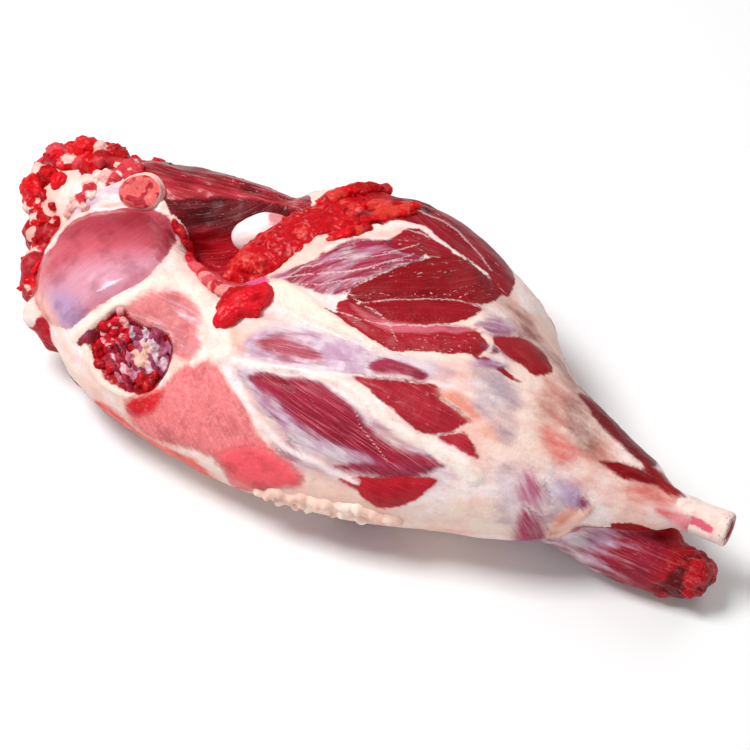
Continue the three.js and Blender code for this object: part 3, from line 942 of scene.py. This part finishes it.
def paint_torn_end(canvas):
    """Bright meat with cream fat between along the wide end."""
    share = torn_share(canvas.p)
    fat = NOISE(canvas.p + 90, 12, 2)
    depth = np.where(share > 0.3, (0.68 - fat) * 40, -9)
    canvas.paint(depth, muscle([], "#AE0612", bulge=0, fibre=0.0, grit=0.2), share)
    low_end = near_limb(canvas.p, TORN_EDGE[:2], 15) + 16 * (NOISE(canvas.p + 20, 8, 2) - 0.5)
    canvas.paint(low_end, muscle([], "#B41C2A", bulge=0, fibre=0.1, grit=0.3, soft=1.2))
    canvas.blend("fat_tint", share, "#F0BCB0")
    canvas.lift += share * (6 * (NOISE(canvas.p, 9, 3) - 0.5))


def paint_face(canvas):
    """Everything that shows on the inner face."""
    blush = smooth(NOISE(canvas.p + 210, 28, 3), 0.46, 0.62) * canvas.facing
    canvas.blend("fat_tint", blush * 0.75, "#F6CFC2")
    white = smooth(NOISE(canvas.p + 510, 24, 3), 0.54, 0.66) * canvas.facing
    canvas.blend("fat_tint", white * 0.8, "#FAF0F2")
    for patch in SHEER_PATCHES:
        canvas.thin(*patch)
    for look in INNER_MUSCLES:
        canvas.paint(depth_inside(canvas.warped, look["outline"]), look, canvas.facing)
    for strip in FAT_STRIPS:
        canvas.lay_strip(*strip)
    for line, half in SINEWS:
        near = smooth(half - off_line(canvas.warped, line), -1.1, 0.3) * canvas.facing
        canvas.sinew = np.maximum(canvas.sinew, near)
        canvas.lift += 0.3 * near


def tint_lean(canvas, outline, colour, share, soft):
    """Tints the muscle inside an outline."""
    patch = smooth(depth_inside(canvas.warped, outline), -soft, soft) * canvas.facing
    canvas.blend("lean_tint", patch * share, colour)


def paint_dome(canvas):
    """The dome is darker at its top and has a mauve sheen at its foot."""
    foot = [(-178, 44), (-164, 56), (-140, 62), (-116, 60), (-134, 42), (-150, 34), (-162, 24), (-174, 32)]
    top = [(-176, 76), (-160, 88), (-140, 92), (-118, 88), (-110, 76), (-126, 72), (-150, 72)]
    tint_lean(canvas, foot, "#D79AAE", 0.85, 8)
    tint_lean(canvas, top, "#A8283C", 0.85, 9)
    tint_lean(canvas, leaf((-172, 44), (-154, 22), 15), "#A494C2", 0.62, 6)
    tint_lean(canvas, leaf((-187, 48), (-168, 20), 10), "#EFB0A0", 0.8, 4)


def sink_hollow(canvas):
    """The rough hollow is torn down into the meat, in ridges, with painted shade in the troughs between them.
    """
    depth = depth_inside(canvas.warped, HOLLOW)
    share = smooth(depth, -1, 5) * canvas.facing
    ridges = NOISE(canvas.p, 7, 3) - 0.5
    canvas.lift += share * (-4.5 + 10 * ridges)
    canvas.lift += 1.2 * smooth(depth, -6, -1) * smooth(-depth, -1, 1) * canvas.facing
    # painted shade: the troughs between the ridges are darkened
    canvas.blend("lean_tint", share * smooth(-ridges, 0.0, 0.12), "#66040C")


def furrow_loin(canvas):
    """The loin lies in long strands, with painted shade in the furrows between them and a painted highlight
    on their tops.
    """
    depth = depth_inside(canvas.warped, LOIN)
    share = smooth(depth, 0, 4) * canvas.facing
    strands = NOISE(np.column_stack([canvas.along / 4.5, canvas.across, canvas.seed]), 5.2, 2) - 0.5
    canvas.lift += 5 * share * strands
    # painted shade: the furrows between the strands are darkened
    canvas.blend("lean_tint", share * smooth(-strands, 0.0, 0.16) * 0.8, "#480208")
    # painted highlight: the tops of the strands are lightened
    canvas.blend("lean_tint", share * smooth(strands, 0.08, 0.22) * 0.55, "#C43844")


def paint_light_in_valley_foot(canvas):
    """The loin's foot, deep in the valley, is painted a brighter red: painted light, against the shade that
    falls there.
    """
    foot = [(-106, 62), (-84, 51), (-70, 53), (-64, 66), (-80, 76), (-102, 76)]
    # painted light: a brighter red where the valley's shade falls
    tint_lean(canvas, foot, "#C81828", 0.7, 6)


def press_creases(canvas):
    """Presses the creases in, and darkens them with painted shade."""
    for line, deep, half in CREASES:
        near = smooth(-off_line(canvas.warped, line), -2.6 * half, 0) * canvas.facing
        canvas.lift -= deep * near
        # painted shade: the creases are darkened towards their lines
        canvas.blend("lean_tint", near * 0.8, "#4A0409")


# ---- lumps, scraps and folds ----
def blob(centre, radii, colour, turn=None):
    """A soft lump: its centre and three radii in mm, and the way its first radius points."""
    axes = np.eye(3)
    if turn is not None:
        axes = np.array(Vector(turn).to_track_quat("X", "Z").to_matrix()).T
    return np.array(centre, float), np.array(radii, float), axes, linear(colour)


def pick(rng, choices):
    return choices[rng.integers(len(choices))]


def add_blobs(mesh, blobs):
    """Adds each lump to a mesh as a stretched ball."""
    bm = bmesh.new()
    bm.from_mesh(mesh)
    for centre, radii, axes, _ in blobs:
        stretch = Matrix((axes.T * radii * MM).tolist()).to_4x4()
        place = Matrix.Translation(Vector(centre * MM))
        bmesh.ops.create_icosphere(bm, subdivisions=3, radius=1, matrix=place @ stretch)
    bm.to_mesh(mesh)
    bm.free()


def clump(name, blobs, voxel, relax, rough):
    """Lumps grown together into one skin, each keeping its own colour."""
    mesh = bpy.data.meshes.new(name)
    add_blobs(mesh, blobs)
    piece = even_skin(name, mesh, voxel, relax)
    points, normals = mesh_points(piece.data), mesh_normals(piece.data)
    p = points / MM
    best = np.full(len(p), np.inf)
    tint = np.zeros((len(p), 3))
    for centre, radii, axes, colour in blobs:
        away = np.linalg.norm(((p - centre) @ axes.T) / radii, axis=1) + 0.25 * NOISE(p, 3)
        nearer = away < best
        best = np.where(nearer, away, best)
        tint[nearer] = colour
    lift = rough * (1.5 * (NOISE(p, 4.5, 2) - 0.5) + 0.9 * (NOISE(p + 9, 1.9, 2) - 0.5))
    lift *= smooth(p[:, 2], 0.2, 3)
    points = points + normals * lift[:, None] * MM
    points[:, 2] = np.maximum(points[:, 2], 0)
    move_points(piece.data, points)
    write_values(piece.data, tint=opaque(tint))
    return piece


class Surface:
    """Finds places on a finished skin."""

    def __init__(self, piece):
        mesh = piece.data
        polygons = [tuple(polygon.vertices) for polygon in mesh.polygons]
        self.tree = BVHTree.FromPolygons([tuple(co) for co in mesh_points(mesh)], polygons)

    def under(self, u, v):
        """The place and the outward direction where the face plane's (u, v) meets the skin, in mm."""
        on_plane = ORIGIN_MM + u * FACE_RIGHT + v * FACE_UP
        start = Vector((on_plane + 400 * FACE_OUT) * MM)
        place, normal, _, _ = self.tree.ray_cast(start, Vector(-FACE_OUT))
        if place is None:
            return self.nearest(on_plane)
        return np.array(place) / MM, np.array(normal)

    def nearest(self, point):
        place, normal, _, _ = self.tree.find_nearest(Vector(point * MM))
        return np.array(place) / MM, np.array(normal)


def at_distance(points, reach, along):
    """The place at a distance along a line, with each point's own distance given as reach."""
    return np.array([np.interp(along, reach, points[:, k]) for k in (0, 1)])


def chain(surface, line, radii, colours, rng, sink, squash=1.0):
    """Blobs strung along a line on the face plane, a little sunk in the skin."""
    points = rounded(line, closed=False, steps=4)
    reach = np.concatenate([[0], np.cumsum(np.linalg.norm(np.diff(points, axis=0), axis=1))])
    blobs = []
    along = 0.0
    while along <= reach[-1]:
        t = along / reach[-1]
        u, v = at_distance(points, reach, along)
        ahead = min(along + 1, reach[-1])
        heading = at_distance(points, reach, ahead) - at_distance(points, reach, ahead - 1)
        radius = np.interp(t, np.linspace(0, 1, len(radii)), radii) * rng.uniform(0.85, 1.15)
        place, normal = surface.under(u, v)
        turn = heading[0] * FACE_RIGHT + heading[1] * FACE_UP + rng.normal(0, 0.15, 3)
        radii_here = (radius * 1.5, radius, radius * squash)
        centre = place + normal * radius * (squash - sink - 0.4)
        blobs.append(blob(centre, radii_here, pick(rng, colours), turn))
        along += radius * 0.7
    return blobs


TORN_LUMPS = 230
TORN_SIZES = ([0, 0.4, 0.6, 1], [0.34, 0.52, 0.9, 1.05])  # how far along the torn edge, and the size there
RIM_LUMPS = 46
RIM = ([-172, -150, -130], [92, 108, 117])  # the rim above the dome, as u and v
LEAST_HEIGHT = 7  # mm above the ground, below which no torn lump starts


def build_nodules(surface):
    """Torn nodules of meat crowded along the wide end, and lumps of fat along the rim above it."""
    rng = np.random.default_rng(5)
    edge = rounded(TORN_EDGE, closed=False, steps=12)
    blobs = []
    for _ in range(TORN_LUMPS):
        step = rng.integers(len(edge))
        scale = np.interp(step / len(edge), *TORN_SIZES)
        place, normal = surface.nearest(edge[step] + rng.normal(0, 7.5 * scale, 3))
        if place[2] < LEAST_HEIGHT:
            continue
        radius = rng.uniform(2.6, 6.6) * scale
        blobs.append(blob(place + normal * radius * rng.uniform(-0.4, 0.3), radius * rng.uniform(0.7, 1.4, 3),
                          pick(rng, TORN_MIX), rng.normal(0, 1, 3)))
    for _ in range(RIM_LUMPS):
        u = rng.uniform(-172, -130)
        v = np.interp(u, *RIM) + rng.normal(0, 3)
        place, normal = surface.under(u, v)
        radius = rng.uniform(1.6, 3.6)
        blobs.append(blob(place + normal * radius * rng.uniform(-0.5, 0.1), radius * rng.uniform(0.8, 1.5, 3),
                          pick(rng, FAT_MIX), rng.normal(0, 1, 3)))
    return clump("torn_nodules", blobs, 0.95, 5, 2.4)


# The hollow's rags: the middle and reach of a patch of them on the face plane, how many, their radii, their
# colours, and which way they run.
RAGS = [
    ((-138, 25), (7, 10), 60, (2.4, 2.0, 1.8), ("#CE0A20", "#B00618", "#DC2036", "#EFA8A8"), (0, 1)),
    ((-145, 9), (5, 13), 40, (2.6, 2.0, 1.8), ("#A80614", "#C20A1C"), (0, 1)),
    ((-134, 4), (7, 12), 44, (6.5, 1.4, 1.4), ("#A82840", "#C87084", "#90142A", "#E8B8BE"), (0.35, -0.94)),
    ((-118, 13), (11, 12), 70, (5.0, 2.0, 1.2), ("#C490A8", "#A85C78", "#DCC0CE", "#9C3654"), (0.25, -1)),
    ((-122, 8), (2.5, 4), 4, (4.5, 2.6, 2.6), ("#F2C0AC",), (0.5, -0.8)),
    ((-119, -4), (6, 4), 14, (3.0, 2.2, 2.0), ("#BC1418", "#86060F"), (0.5, -0.8)),
]


def build_scraps(surface):
    """Rags of muscle and silvery film laid over each other in the rough hollow."""
    rng = np.random.default_rng(8)
    blobs = []
    for middle, reach, count, radii, colours, run in RAGS:
        for u, v in rng.uniform(-1, 1, (count, 2)) * reach + middle:
            if depth_inside(np.array([[u, v]]), HOLLOW)[0] < 0.35 * radii[0]:
                continue
            place, normal = surface.under(u, v)
            turn = run[0] * FACE_RIGHT + run[1] * FACE_UP + 0.25 * rng.normal(0, 1, 3)
            blobs.append(blob(place + normal * rng.uniform(-0.2, 1.6), radii * rng.uniform(0.7, 1.2, 3),
                              pick(rng, colours), turn))
    return clump("hollow_scraps", blobs, 0.65, 8, 1.9)


# The strands at the foot of the valley: a line, its radii, its colours and how far it is sunk.
VALLEY_STRANDS = [
    ([(-110, 83), (-104, 72), (-101, 61), (-95, 57)], (2.2, 2.8, 3.0), ("#B00A14", "#C81C28"), 0.5),
    ([(-98, 57), (-90, 50), (-80, 43), (-70, 40), (-64, 42)], (3.2, 4.2, 3.6, 3.0), ("#D8525C", "#C4242E",
     "#E48A88"), 0.3),
    ([(-78, 29), (-73, 33), (-66, 36), (-60, 39)], (5.6, 7.4, 6.2), ("#DC0C20", "#E01428"), 0.3),
    ([(-80, 34), (-74, 40), (-66, 43)], (3.5, 4.5, 3.5), ("#B80A14",), 0.3),
]

# The small lumps over the bright lobe at the cord's end.
LOBE_LUMPS = 30
LOBE_MIDDLE = (-70, 34)
LOBE_REACH = (9, 4)


def build_valley_cord(surface):
    """The twisted red and pink cord at the foot of the valley, and the bright lobe at its end."""
    rng = np.random.default_rng(3)
    blobs = []
    for line, radii, colours, sink in VALLEY_STRANDS:
        blobs += chain(surface, line, radii, colours, rng, sink)
    for u, v in rng.uniform(-1, 1, (LOBE_LUMPS, 2)) * LOBE_REACH + LOBE_MIDDLE:
        place, normal = surface.under(u, v)
        blobs.append(blob(place + normal * rng.uniform(0, 3), rng.uniform(1.4, 3.2, 3),
                          pick(rng, BRIGHT_MEAT), rng.normal(0, 1, 3)))
    return clump("valley_cord", blobs, 0.75, 6, 1.8)


# The folds of cut meat: a line and its radii.
CUT_FOLDS = [
    ([(-34, 90), (-24, 96), (-10, 100), (8, 100), (20, 97)], (3.0, 4.4, 4.2, 3.0)),
    ([(-30, 84), (-18, 88), (-6, 91), (8, 90), (22, 90)], (3.2, 4.0, 3.6, 2.4)),
    ([(-30, 76), (-18, 79), (-6, 82), (4, 84)], (3.4, 4.4, 3.2, 2.2)),
    ([(-24, 72), (-14, 75), (-4, 77)], (2.4, 3.2, 2.0)),
]


def build_cut_folds(surface):
    """Loose folds of bright meat where the topside was cut."""
    rng = np.random.default_rng(12)
    blobs = []
    for line, radii in CUT_FOLDS:
        blobs += chain(surface, line, radii, BRIGHT_MEAT + ("#D83A30",), rng, 0.25, 0.8)
    return clump("cut_folds", blobs, 0.85, 6, 1.8)


def build_fat_fold(surface):
    """The crinkled fold of fat along the near edge, in soft lobes that overlap."""
    rng = np.random.default_rng(21)
    upper_row = [(-60, -60), (-50, -61), (-38, -63), (-26, -65), (-14, -67), (-2, -71), (10, -74)]
    lower_row = [(-54, -64), (-42, -66), (-30, -68), (-18, -70.5), (-8, -73)]
    lobe = np.array([3.4, 4.8, 3.4])
    blobs = []
    for row in (upper_row, lower_row):
        for u, v in rounded(row, closed=False, steps=3):
            place, normal = surface.under(u, v + rng.normal(0, 0.8))
            radii = lobe * rng.uniform(0.75, 1.25, 3)
            colour = pick(rng, ("#F6E0D2", "#EDC6B6"))
            turn = FACE_RIGHT + FACE_UP * rng.normal(-0.5, 0.5)
            blobs.append(blob(place - normal * 1.2, radii, colour, turn))
    return clump("fat_fold", blobs, 0.8, 7, 0.7)


def shank_sheath():
    """The flesh that runs out along the shank bone and narrows towards its sawn end."""
    return [
        blob((150 + 12 * k, -8.6 + 0.55 * k, 45 + 0.5 * k), (12, 13.6 - k, 12.8 - 0.9 * k), CREAM)
        for k in range(5)
    ]


def build_flesh():
    """The flesh: the node's own shape with a sheath on the shank bone, its looks painted on and lifted."""
    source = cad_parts["leg_flesh"].data.copy()
    add_blobs(source, shank_sheath())
    piece = even_skin("flesh", source, 1.54, 9)
    points, normals = mesh_points(piece.data), mesh_normals(piece.data)
    canvas = Canvas(points, normals)
    paint_outer_side(canvas)
    paint_face(canvas)
    paint_dome(canvas)
    paint_limbs(canvas)
    paint_torn_end(canvas)
    sink_hollow(canvas)
    furrow_loin(canvas)
    paint_light_in_valley_foot(canvas)
    press_creases(canvas)
    lumpy = 1.6 * (NOISE(canvas.p, 16, 2) - 0.5) + 0.7 * (NOISE(canvas.p + 9, 5, 2) - 0.5)
    grainy = 1.1 * canvas.grit * (NOISE(canvas.p, 2.6) - 0.5)
    lift = (canvas.lift + lumpy + grainy) * smooth(canvas.p[:, 2], 0.3, 5)
    swell(piece, points, normals, lift)
    canvas.write(piece.data)
    return piece


# ---- bones ----
def along_bone(p, start, end):
    """How far points lie along a bone from its start, and their way out from its axis, in mm."""
    axis = (end - start) / np.linalg.norm(end - start)
    along = (p - start) @ axis
    return along, p - start - along[:, None] * axis


def build_shank_bone():
    """The shank bone: a sawn ring at its end, a streak of blood along it, and slightly uneven all over."""
    piece, points, p, normals = node_skin("shank_shaft", "shank_bone", 0.7, 3)
    along, out = along_bone(p, SHANK_SAWN, SHANK_KNEE)
    up_face = out @ FACE_OUT
    across = out @ FACE_UP
    skin = smooth(along, 0.5, 2.5)
    lift = skin * (1.0 * (NOISE(p, 14, 2) - 0.5) + 0.4 * (NOISE(p, 3, 2) - 0.5))
    wander = -1.5 + 0.04 * along + 4.0 * (NOISE(p + 60, 8, 2) - 0.5)
    streak = smooth(-np.abs(across - wander), -4.2, 0) * smooth(up_face, 0, 6) * smooth(along, 2, 8)
    lift -= 0.5 * streak
    swell(piece, points, normals, lift)
    radius = np.linalg.norm(out, axis=1)
    face = smooth(-along, -3.0, -1.8)
    stain = np.maximum(streak * 0.95, face * smooth(-radius, -8.6, -7.4))
    stain = np.maximum(stain, smooth(along, 36, 46) * 0.5)
    tint = np.where(face[:, None] > 0.5, linear("#B0605C"), linear("#E4647A"))
    write_values(piece.data, stain=stain, stain_tint=opaque(tint), pores=face * 0.7)
    return piece


def build_marrow():
    """The marrow in the shank bone, soft and blood-stained."""
    piece, points, p, normals = node_skin("marrow_core", "shank_marrow", 0.5, 2)
    swell(piece, points, normals, 0.5 * (NOISE(p, 2.2, 2) - 0.5))
    count = len(p)
    stain, pores = np.full(count, 0.4), np.full(count, 0.5)
    write_values(piece.data, stain=stain, stain_tint=evenly("#A03840", count), pores=pores)
    return piece


HIP_TOP = np.array([-142.6, 12.5, 82.0])
HIP_ROOT = np.array([-158.6, 34.5, 46.0])


def build_hip_bone():
    """The sawn hip bone: a red face inside a pale rim, thicker on its right, and wider below."""
    piece, points, p, normals = node_skin("hip_stub", "hip_bone", 0.55, 6)
    along, out = along_bone(p, HIP_TOP, HIP_ROOT)
    radius = np.linalg.norm(out, axis=1)
    wider = 1.6 * smooth(along, 2, 6)
    inner = np.linalg.norm(out + 2.4 * FACE_RIGHT - 0.8 * FACE_UP, axis=1) + 2.4 * (NOISE(p + 31, 5, 2) - 0.5)
    lift = wider + 1.2 * (NOISE(p, 7, 2) - 0.5) - 0.6 * smooth(-radius, -6, -3) * smooth(-along, -2, 0)
    lean_over = 0.4 * np.minimum(out @ FACE_RIGHT, 0) * smooth(-along, -18, -4)
    move_points(piece.data, points + (normals * lift[:, None] + lean_over[:, None] * FACE_RIGHT) * MM)
    reach = 2.6 - 3.2 * np.clip(out @ FACE_RIGHT / 11, -1, 0.5)
    face = smooth(reach - along, 0, 1.6) * smooth(-inner, -12.0, -10.4)
    dark = smooth(NOISE(p + 5, 4, 2), 0.56, 0.64)
    tint = np.where(dark[:, None] > 0.5, linear("#BA2E3C"), linear("#EE6C68"))
    write_values(piece.data, stain=face, stain_tint=opaque(tint), pores=face * 0.6)
    return piece


CRUMBS = 100


def build_aitch_bone():
    """The sawn red strip, crumbly: small lumps stand all over the side that shows."""
    rng = np.random.default_rng(31)
    core, _, places, ways = node_skin("aitch_core", "aitch_bone", 0.9, 4)
    shown = np.flatnonzero(ways @ FACE_OUT > -0.35)
    add_blobs(core.data, [
        blob(places[k] - ways[k] * 1.4, rng.uniform(1.6, 4.0, 3), CREAM, rng.normal(0, 1, 3))
        for k in rng.choice(shown, CRUMBS, replace=False)
    ])
    piece = even_skin("aitch_strip", core.data, 0.75, 8)
    bpy.data.objects.remove(core)
    points, normals = mesh_points(piece.data), mesh_normals(piece.data)
    p = points / MM
    lift = 2.2 * (NOISE(p, 7, 3) - 0.5) + 1.2 * (NOISE(p + 3, 2.4, 2) - 0.5)
    lift *= smooth(normals @ FACE_OUT, -0.1, 0.3)
    swell(piece, points, normals, lift)
    pale = smooth(NOISE(p + 17, 8, 3), 0.57, 0.67)
    tint = np.where(pale[:, None] > 0.5, linear("#E0564A"), linear("#A8040E"))
    stain, pores = np.full(len(p), 0.45), np.full(len(p), 0.5)
    write_values(piece.data, stain=stain, stain_tint=opaque(tint), pores=pores)
    return piece


def build_gristle():
    """The white knob of cartilage, pinker at its far end."""
    piece, points, p, normals = node_skin("gristle_knob", "gristle_cap", 0.6, 12)
    lift = 1.5 + 1.6 * (NOISE(p, 9, 2) - 0.5)
    lift *= smooth(normals @ FACE_OUT, -0.2, 0.2)
    swell(piece, points, normals, lift)
    flat = (p - ORIGIN_MM) @ np.column_stack([FACE_RIGHT, FACE_UP])
    far_end = smooth(flat[:, 0], -62, -55) * smooth(flat[:, 1], 78, 84)
    write_values(piece.data, stain=far_end, stain_tint=evenly("#DE8E92", len(p)), pores=np.zeros(len(p)))
    return piece


# ---- stage ----
def add_floor():
    """A wide pale floor."""
    mesh = bpy.data.meshes.new("floor")
    half = 6
    corners = [(-half, -half, 0), (half, -half, 0), (half, half, 0), (-half, half, 0)]
    mesh.from_pydata(corners, [], [(0, 1, 2, 3)])
    floor = new_piece("floor", mesh)
    material, _, shader = new_material("pale_floor")
    shader.inputs["Base Color"].default_value = (0.92, 0.92, 0.92, 1)
    shader.inputs["Roughness"].default_value = 0.7
    shader.inputs["Specular IOR Level"].default_value = 0.1
    mesh.materials.append(material)


def add_light(name, place, size, power):
    """A soft square light that looks at the leg."""
    data = bpy.data.lights.new(name, "AREA")
    data.size = size
    data.energy = power
    light = bpy.data.objects.new(name, data)
    light.location = place
    light.rotation_euler = (AIM - Vector(place)).to_track_quat("-Z", "Y").to_euler()
    bpy.context.scene.collection.objects.link(light)


def light_stage():
    """Three soft lights and an even white surround."""
    add_light("soft_key", (-0.60, -0.25, 1.30), 0.55, 20)
    add_light("soft_fill", (0.9, -1.1, 0.8), 1.2, 5)
    add_light("soft_back", (0.3, 1.2, 1.1), 0.8, 5)
    world = bpy.data.worlds.new("studio")
    world.use_nodes = True
    world.node_tree.nodes["Background"].inputs["Color"].default_value = (1, 1, 1, 1)
    world.node_tree.nodes["Background"].inputs["Strength"].default_value = 0.22
    bpy.context.scene.world = world
    bpy.context.scene.view_settings.view_transform = "Standard"


# ---- the leg ----
def settle(piece, material, slot, *nodes):
    """Gives a finished piece its material, and says what it rides on and which nodes it stands for."""
    piece.data.materials.append(material)
    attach(piece, "root")
    if nodes:
        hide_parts(*nodes)


# Each bone's builder and node, then its material's name, its colour, its blood and how much there is of it,
# how far light enters it and how wet it is.
BONE_LOOKS = [
    (build_shank_bone, "shank_bone", "shank_bone_damp", "#F4DDD2", "#E6A8A2", 0.6, 0.15, 0.2),
    (build_marrow, "shank_marrow", "marrow_pink", "#C4797A", "#A84A50", 0.6, 0.15, 0.2),
    (build_hip_bone, "hip_bone", "hip_bone_sawn", "#F2C6BC", "#D87A78", 0.7, 0.15, 0.2),
    (build_aitch_bone, "aitch_bone", "aitch_bone_red", "#CC0A18", "#A8040C", 0.6, 0.04, 0.10),
    (build_gristle, "gristle_cap", "gristle_white", "#FBF0EE", "#F2D2D2", 0.3, 0.25, 0.5),
]

add_floor()
light_stage()
flesh = build_flesh()
settle(flesh, flesh_material(), "leg_flesh", "leg_flesh")
TORN = torn_material()
surface = Surface(flesh)
for build in (build_nodules, build_scraps, build_valley_cord, build_cut_folds):
    settle(build(surface), TORN, "leg_flesh")
settle(build_fat_fold(surface), fold_material(), "leg_flesh")
for build, node, *look in BONE_LOOKS:
    settle(build(), bone_material(*look), node, node)
